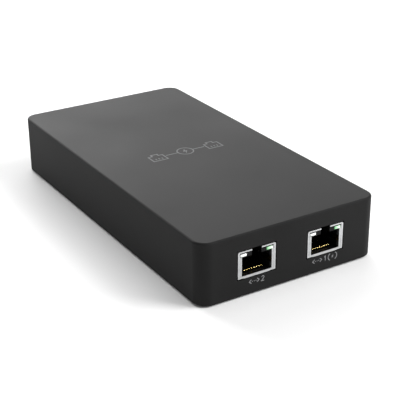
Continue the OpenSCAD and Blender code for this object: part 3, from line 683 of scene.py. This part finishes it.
def insertMesh():
    s = socket
    gap = s["sheet"] + 0.05
    half = s["width"] / 2 - gap
    top = s["height"] - gap
    back = s["depth"] - gap
    base = block((-half, gap, 0), (half, back, top))
    plugHalf = s["plugWidth"] / 2
    mouth = placed(loft([
        [Vector((x, z, depth)) for x, z in
         ((-plugHalf - g, s["sill"]), (plugHalf + g, s["sill"]), (plugHalf + g, s["plugTop"]),
          (-plugHalf - g, s["plugTop"]))]
        for g, depth in ((0.4, gap - 0.1), (0.0, gap + 0.5), (0.0, back - 2.2))]), standUp)
    cuts = [mouth,
            block((-s["latchWidth"] / 2, gap + s["latchStep"], s["plugTop"] - 0.1),
                  (s["latchWidth"] / 2, back - 4, top - 0.6)),
            block((-s["notch"] / 2, gap - 1, s["plugTop"] - 0.1),
                  (s["notch"] / 2, gap + s["latchStep"] + 0.1, top + 1))]
    for side in (-1, 1):
        near, far = sorted((side * (s["lensInner"] - 0.05), side * (s["lensInner"] + s["lensWidth"] + 0.05)))
        cuts.append(block((near, gap - 1, s["lensBottom"] - 0.05),
                          (far, gap + 10, s["lensBottom"] + s["lensHeight"] + 0.05)))
        near, far = sorted((side * (plugHalf - 0.3), side * (plugHalf + 0.9)))
        cuts.append(block((near, gap - 1, s["fingerMiddle"] - s["fingerHeight"] / 2 - 0.15),
                          (far, gap + 7.4, s["fingerMiddle"] + s["fingerHeight"] / 2 + 0.15)))
    trench = s["pitch"] * s["wires"] / 2 + 0.25
    cuts.append(block((-trench, gap + 1.9, 0.3), (trench, gap + 12.4, s["sill"] + 0.3)))
    for i in range(s["wires"]):
        x = (i - (s["wires"] - 1) / 2) * s["pitch"]
        cuts.append(block((x - 0.3, s["leadDepth"] - 0.2, -1), (x + 0.3, s["leadDepth"] + 0.45, 1)))
    body = combined(base, cut=cuts)
    combs = []
    for i in range(s["wires"] + 1):  # thin ribs that keep the wires' free ends apart
        x = (i - s["wires"] / 2) * s["pitch"]
        rib = [(9.0, 0.25), (9.0, 3.6), (9.6, 4.5), (back - 2.1, 4.5), (back - 2.1, 0.25)]
        combs.append(placed(prism(rib, x - 0.13, x + 0.13), alongX))
    pegs = [lathe([(1.3, -2.0), (1.6, -1.6), (1.6, 0.2)], (side * s["pegAcross"], s["pegDepth"]), 28)
            for side in (-1, 1)]
    return combined(body, added=combs + pegs)  # One wire: a round root bend, a straight rise towards the back and a turned-down tip
def wireMesh():
    rootDepth = wireLow.y + 0.25 - socket["face"]
    rootHeight = wireLow.z + 0.25 - boardTop
    slope, bend = math.radians(socket["wireRise"]), socket["wireBend"]
    path = []
    for i in range(9):
        angle = math.radians(250 - 140 * i / 8)
        path.append((rootDepth + bend * math.cos(angle), rootHeight + bend * math.sin(angle)))
    start = path[-1]
    for reach in (0.6, 2.2, 4.0, 5.6):
        path.append((start[0] + reach * math.cos(slope), start[1] + reach * math.sin(slope)))
    for i in range(1, 6):  # the tip curls over towards level
        angle = slope - math.radians(9 * i)
        path.append((path[-1][0] + 0.24 * math.cos(angle), path[-1][1] + 0.24 * math.sin(angle)))
    return bentStrip(path, socket["wireWidth"], socket["wireThickness"])


def wiresMesh():
    count, pitch = socket["wires"], socket["pitch"]
    return joined(*[shifted(wireMesh(), (i - (count - 1) / 2) * pitch) for i in range(count)])  # A light guide: a bar with a slightly domed, round-edged tip
def lensMesh(low, high):
    width, height = high.x - low.x, high.z - low.z
    rings = []
    for inset, depth in ((0.45, 0.0), (0.16, 0.05), (0.04, 0.14), (0.0, 0.28), (0.0, high.y - low.y)):
        rings.append(roundedRing(width - 2 * inset, height - 2 * inset, max(0.22 - inset, 0.06), depth, 3))
    lens = placed(loft(rings), standUp)
    return shifted(lens, (low.x + high.x) / 2, low.y, (low.z + high.z) / 2)


windows = dict(  # finish, its two tones, its glow and its slot
    # the left window is off, and its glow of 0.35 is a painted glow that makes it look lit
    left=("unlit, painted glow", "#cfd2cf", "#f4f6f4", 0.35, "lens_clear"),
    right=("lit green", "#5fa36c", "#d2f2d2", 0.55, "lens_green"),
)


def makeSocket(jack):
    low, high = nodeBox(jack + "_jack_shield")
    place = ((low.x + high.x) / 2, low.y, boardTop)
    for name, draw, material, slotName, node, edge, body in (
            ("Shield", shieldMesh, shieldTin, "shield_tin", "shield", 0.02, "housing"),
            # the side springs are bronze, with a dark tone that is painted shade
            ("SideSprings", springsMesh, springBronzePaintedShade, "shield_tin", None, 0.0, "housing"),
            ("Insert", insertMesh, socketPbt, "insert_plastic", "insert", 0.05, "housing"),
            ("Wires", wiresMesh, contactGold, "contact_gold", "contacts", 0.05, jack + "_contacts")):
        replaced = [jack + "_jack_" + node] if node else []
        addPiece(jack + name, shifted(draw(), *place), material, replaced, edge, body)
    for side, (finish, deep, pale, glow, slotName) in windows.items():
        node = jack + "_jack_lens_" + side
        low, high = nodeBox(node)
        material = lightGuide(jack + " clear acrylic, " + finish, deep, pale, glow, low.x, high.x)
        addPiece(jack + "Lens" + side.capitalize(), lensMesh(low, high), material, [node])


makeSocket("lan")
makeSocket("poe")
print("sockets made")


base = dict(
    cornerRadius=3.15,
    edgeRound=0.35,
    footRadius=4.0,
    footPocket=0.5,
    screwShank=1.25,
    headDepth=1.2,
    headHeight=1.1,  # housing screws
    panHeight=1.4,  # board screws
    standoffRadius=2.6,
    standoffHole=1.35,
    labelWidth=46.0,
    labelLength=62.0,
    labelRecess=0.2,
    labelCorner=1.5,
    labelEdge=2.0,  # from the label's edge to its frame line
    labelRows=9,
    rowPitch=4.6,
    thinStroke=0.35,
    rowStroke=0.7,
)


def makeBase():
    b = base
    low, high = baseLow, baseHigh
    plateTop = nodeBox("insulation_sheet")[0].z
    width, length = high.x - low.x, high.y - low.y
    rings = []
    for i in range(5):
        angle = math.radians(90 * i / 4)
        inset = b["edgeRound"] * (1 - math.sin(angle))
        rings.append(roundedRing(width - 2 * inset, length - 2 * inset, b["cornerRadius"] - inset,
                                 low.z + b["edgeRound"] * (1 - math.cos(angle)), 8))
    rings.append(roundedRing(width, length, b["cornerRadius"], plateTop, 8))
    plate = loft(rings)
    standoffs, cuts = [], []
    for x, y in cornersOf("board_screws", fits["screwHead"]):
        r = b["standoffRadius"]
        standoffs.append(lathe([(r + 0.5, plateTop - 0.5), (r + 0.5, plateTop), (r, plateTop + 0.4),
                                (r, high.z - 0.2), (r - 0.2, high.z)], (x, y), 36))
        cuts.append(lathe([(b["standoffHole"], high.z - 3.3), (b["standoffHole"], high.z + 1)], (x, y), 24))
    for x, y in cornersOf("housing_screws", fits["screwHead"]):
        cuts.append(lathe([(fits["screwHead"] + 0.35, low.z - 0.1), (fits["screwHead"] + 0.2, low.z + 0.15),
                           (fits["screwHead"] + 0.2, low.z + b["headDepth"])], (x, y), 36))
        cuts.append(lathe([(b["standoffHole"], low.z), (b["standoffHole"], plateTop + 1)], (x, y), 24))
    for x, y in cornersOf("rubber_feet", b["footRadius"]):
        cuts.append(lathe([(b["footRadius"] + 0.25, low.z - 0.1), (b["footRadius"] + 0.1, low.z + 0.1),
                           (b["footRadius"] + 0.1, low.z + b["footPocket"])], (x, y), 48))
    cuts.append(loft([roundedRing(b["labelWidth"] + 0.4, b["labelLength"] + 0.4, b["labelCorner"] + 0.2, z)
                      for z in (low.z - 1, low.z + b["labelRecess"])]))
    plate = combined(plate, added=standoffs, cut=cuts)
    addPiece("basePlate", plate, baseAbs, ["base_plate"])


def makeFeet():
    low, high = nodeBox("rubber_feet")
    r = base["footRadius"]
    feet = [lathe([(1.6, low.z), (r - 0.55, low.z + 0.03), (r - 0.22, low.z + 0.13), (r - 0.05, low.z + 0.32),
                   (r, low.z + 0.55), (r, high.z)], place, 64) for place in cornersOf("rubber_feet", r)]
    addPiece("feet", joined(*feet), footRubber, ["rubber_feet"])  # A pan-head screw with its head down at z = 0 and a cross recess in it
def screwMesh(place, headHeight, length):
    r, shank = fits["screwHead"], base["screwShank"]
    body = lathe([(r * 0.62, 0), (r * 0.86, 0.12), (r * 0.97, 0.36), (r, 0.62), (r, headHeight),
                  (shank, headHeight + 0.01), (shank, length - 0.8), (shank * 0.55, length)], place, 40)
    arms = []
    slotLength, slotWidth = 2.6, 0.62
    for wide, deep in ((slotLength, slotWidth), (slotWidth, slotLength)):
        arms.append(loft([[Vector((place[0] + sx * wide / 2 * k, place[1] + sy * deep / 2 * k, z))
                           for sx, sy in ((-1, -1), (1, -1), (1, 1), (-1, 1))]
                          for k, z in ((1.1, -0.2), (0.9, 0.35), (0.55, 0.75))]))
    return combined(body, cut=arms)


def makeScrews():
    low, high = nodeBox("housing_screws")
    screws = [screwMesh(place, base["headHeight"], high.z - low.z) for place in
              cornersOf("housing_screws", fits["screwHead"])]
    addPiece("housingScrews", shifted(joined(*screws), 0, 0, low.z), screwZinc,
             ["housing_screws"])
    low, high = nodeBox("board_screws")
    screws = [screwMesh((x, -y), base["panHeight"], high.z - low.z) for x, y in
              cornersOf("board_screws", fits["screwHead"])]
    turned = placed(joined(*screws), Matrix.Rotation(math.pi, 4, "X"))
    addPiece("boardScrews", shifted(turned, 0, 0, high.z), screwZinc,
             ["board_screws"])  # A blank rating label: a frame, ruled lines where the ratings would stand and a plain bolt sign
def makeLabel():
    low, high = nodeBox("rating_label")
    width, length, depth = high.x - low.x, high.y - low.y, fits["inkDepth"]
    film = loft([roundedRing(width - 2 * inset, length - 2 * inset, base["labelCorner"], z)
                 for inset, z in ((0.05, low.z), (0.0, low.z + 0.05), (0.0, high.z))])
    addPiece("ratingLabel", film, labelFilm, ["rating_label"])
    edge, thin = base["labelEdge"], base["thinStroke"]
    frameLine = [(p.x, p.y) for p in roundedRing(width - 2 * edge, length - 2 * edge, 1.0, 0, 3)]
    lines = [inkLine(frameLine, thin, depth, True)]
    for row in range(base["labelRows"]):
        y = length / 2 - 14 - row * base["rowPitch"]
        end = width / 2 - 5 - random.uniform(0, 12)
        lines.append(inkLine([(-width / 2 + 5, y), (end, y)], base["rowStroke"], depth))
    y = length / 2 - 10
    lines.append(inkLine([(-width / 2 + edge, y), (width / 2 - edge, y)], thin, depth))
    lines.append(prism(boltOutline(-width / 2 + 7, length / 2 - 6, 5), 0, depth))
    addPiece("labelPrint", shifted(joined(*lines), 0, 0, low.z - depth), labelInk)


makeBase()
makeFeet()
makeScrews()
makeLabel()
print("base, feet, screws and label made")


inlet = dict(
    cavityWidth=24.6,
    cavityHeight=16.5,
    cavityDepth=17.0,
    chamfer=4.8,
    lowCorner=1.2,
    mouthRound=0.35,
    flangeThickness=1.5,
    flangeIn=2.1,  # from the end wall to the flange
    wallFace=0.3,  # the inlet's face stands this far inside the end of the case
    pinWidth=2.0,
    pinHeight=4.0,
    pinPitch=14.0,
    pinOffset=2.0,  # the middle pin stands this far above the middle, the others below it
    slotGap=0.05,  # round each pin
    collarWidth=4.2,  # low rim round each pin
    collarHeight=6.2,
    collarRise=0.7,
    tabThickness=0.8,
)


# The middle of each pin across the end wall and up it
def inletPinPlaces():
    low, high = nodeBox("inlet_shell")
    middle = (low.z + high.z) / 2
    half, offset = inlet["pinPitch"] / 2, inlet["pinOffset"]
    return [(-half, middle - offset), (0.0, middle + offset), (half, middle - offset)]


def makeInletShell():
    n = inlet
    low, high = nodeBox("inlet_shell")
    middle = (low.z + high.z) / 2
    height = high.z - low.z
    steps = ((0.0, low.y), (0.0, high.y - 0.3), (0.1, high.y - 0.08), (0.3, high.y))
    body = placed(loft([roundedRing(fits["inletWidth"] - 2 * inset, height - 2 * inset,
                                    fits["inletCorner"], depth, 5) for inset, depth in steps]), standUp)
    shifted(body, 0, 0, middle)
    flangeBack = high.y + n["wallFace"] - n["flangeIn"] - n["flangeThickness"]
    flange = block((low.x, flangeBack, low.z), (high.x, flangeBack + n["flangeThickness"], high.z))
    half, tall, cut = n["cavityWidth"] / 2, n["cavityHeight"] / 2, n["chamfer"]

    def cavityRing(grow, depth):
        corner = n["lowCorner"]
        outline = arcPoints(-half + corner, -tall + corner, corner + grow, 180, 270, 5)
        outline += arcPoints(half - corner, -tall + corner, corner + grow, 270, 360, 5)
        outline += [(half + grow, tall - cut), (half - cut + grow * 0.41, tall + grow)]
        outline += [(-half + cut - grow * 0.41, tall + grow), (-half - grow, tall - cut)]
        return [Vector((x, y, depth)) for x, y in outline]

    r = n["mouthRound"]
    floor = high.y - n["cavityDepth"]
    cavity = placed(loft([cavityRing(0.0, floor), cavityRing(0.0, high.y - r),
                          cavityRing(r * 0.3, high.y - r * 0.3), cavityRing(r + 0.2, high.y + 0.2)]), standUp)
    shifted(cavity, 0, 0, middle)
    slots, collars = [], []
    across, up = n["pinWidth"] / 2 + n["slotGap"], n["pinHeight"] / 2 + n["slotGap"]
    rimAcross, rimUp = n["collarWidth"] / 2, n["collarHeight"] / 2
    for x, z in inletPinPlaces():
        slots.append(block((x - across, low.y - 1, z - up), (x + across, floor + 1, z + up)))
        collars.append(block((x - rimAcross, floor - 0.5, z - rimUp),
                             (x + rimAcross, floor + n["collarRise"], z + rimUp)))
    shell = combined(body, added=[flange], cut=[cavity])
    shell = combined(shell, added=collars, cut=slots)
    addPiece("inletShell", shell, inletPbt, ["inlet_shell"], 0.12)


def makeInletPins():
    n = inlet
    low, high = nodeBox("inlet_pins")
    wide, tall = n["pinWidth"], n["pinHeight"]
    steps = ((0.0, low.y), (0.0, high.y - 1.6), (0.25, high.y - 0.7), (0.55, high.y - 0.15), (0.8, high.y))
    pins = []
    for x, z in inletPinPlaces():
        rings = []
        for inset, depth in steps:  # the tip narrows to a blunt point
            ring = roundedRing(wide - 1.44 * inset, tall - 2 * inset, 0.22, 0, 3)
            rings.append([Vector((p.x + x, p.y, depth)) for p in ring])
        pin = shifted(placed(loft(rings), standUp), 0, 0, z)
        tab = block((x - wide / 2, low.y, low.z), (x + wide / 2, low.y + n["tabThickness"], z))
        pins.append(combined(pin, added=[tab]))
    addPiece("inletPins", joined(*pins), pinNickel, ["inlet_pins"], 0.08)


makeInletShell()
makeInletPins()
print("mains inlet made")  # The frame's own shapes for the parts on the board stay, each with its finish
finishes = [
    (boardMask, ["main_board"]),
    (sheetPaper, ["insulation_sheet"]),
    (contactGold, ["lan_jack_leads", "poe_jack_leads"]),
    (fuseGlass, ["fuse"]),
    (discBlue, ["varistor", "y_capacitor"]),
    (discGreen, ["inrush_thermistor"]),
    (yellowPbt, ["x_capacitor"]),
    (sinteredFerrite, ["choke_core", "transformer_core", "output_inductor"]),
    (enamelCopper, ["choke_windings"]),
    (packageEpoxy, ["bridge_rectifier", "primary_transistor", "output_rectifier", "transformer_bobbin",
                    "controller_chip", "poe_controller", "lan_magnetics", "poe_magnetics"]),
    (packageWhite, ["optocoupler"]),
    (sleevePvc, ["bulk_capacitor", "output_capacitors"]),
    (sinkAluminium, ["primary_heatsink", "output_heatsink"]),
    (windingTape, ["transformer_winding"]),
    (chipCeramic, ["surface_mount_parts"]),
]
for material, nodes in finishes:
    for node in nodes:
        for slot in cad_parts[node].material_slots:
            slot.material = material
print("inner parts dressed")


studio = dict(
    floorSize=12.0,
    floorTone="#f1f1f1",
    skyTone="#ffffff",
    skyStrength=0.36,
    lightsAim=(0, 0, 0.01),
    lights=dict(  # place in metres, side in metres and power in watts of each soft box
        rightFrontBox=((0.9, -0.7, 0.9), 0.8, 21.5),
        rearBox=((0.0, 1.3, 0.45), 1.1, 25.0),
        rearHighBox=((0.0, 1.2, 1.1), 0.9, 4.5),
        rearRightBox=((0.8, 1.1, 0.45), 0.8, 7.0),
        topBox=((0.1, 0.0, 1.4), 1.0, 2.6),
    ),
)


def makeFloor():
    half = studio["floorSize"] / 2
    mesh = bmesh.new()
    mesh.faces.new([mesh.verts.new((x, y, 0)) for x, y in
                    ((-half, -half), (half, -half), (half, half), (-half, half))])
    floor = toObject("floor", mesh)
    paper = startMaterial("white paper sweep", studio["floorTone"],
                          {"Roughness": 0.9, "Specular IOR Level": 0.0})[0]
    floor.data.materials.append(paper)


def addLight(name, place, size, power):
    light = bpy.data.lights.new(name, "AREA")
    light.shape = "SQUARE"
    light.size = size
    light.energy = power
    lamp = bpy.data.objects.new(name, light)
    lamp.location = place
    lamp.rotation_euler = (Vector(studio["lightsAim"]) - Vector(place)).to_track_quat("-Z", "Y").to_euler()
    bpy.context.scene.collection.objects.link(lamp)


def makeStudio():
    makeFloor()
    world = bpy.data.worlds.new("studio")
    world.use_nodes = True
    sky = world.node_tree.nodes["Background"]
    sky.inputs["Color"].default_value = fromHex(studio["skyTone"])
    sky.inputs["Strength"].default_value = studio["skyStrength"]
    bpy.context.scene.world = world
    for name, (place, size, power) in studio["lights"].items():
        addLight(name, place, size, power)
    bpy.context.scene.view_settings.view_transform = "Standard"
    bpy.context.scene.view_settings.look = "None"


view = dict(
    place=(-201.13, -343.81, 187.41),  # camera, in millimetres
    azimuth=-31.23,  # degrees round from the socket end
    elevation=24.804,
    roll=-0.56,
    lens=95.03,
    sensorWidth=36,
    clip=(0.01, 50),  # nearest and farthest distance shown, in metres
)


def makeCamera():
    azimuth, elevation, roll = (math.radians(view[key]) for key in ("azimuth", "elevation", "roll"))
    back = Vector((math.sin(azimuth) * math.cos(elevation), -math.cos(azimuth) * math.cos(elevation),
                   math.sin(elevation)))
    right = Vector((math.cos(azimuth), math.sin(azimuth), 0))
    up = back.cross(right)
    right, up = (math.cos(roll) * right + math.sin(roll) * up, math.cos(roll) * up - math.sin(roll) * right)
    data = bpy.data.cameras.new("camera")
    data.sensor_width = view["sensorWidth"]
    data.lens = view["lens"]
    data.clip_start, data.clip_end = view["clip"]
    camera = bpy.data.objects.new("camera", data)
    turn = Matrix((right, up, back)).transposed().to_4x4()
    camera.matrix_world = Matrix.Translation(Vector(view["place"]) * mm) @ turn
    bpy.context.scene.collection.objects.link(camera)
    bpy.context.scene.camera = camera


makeStudio()
makeCamera()
print("studio and camera made")
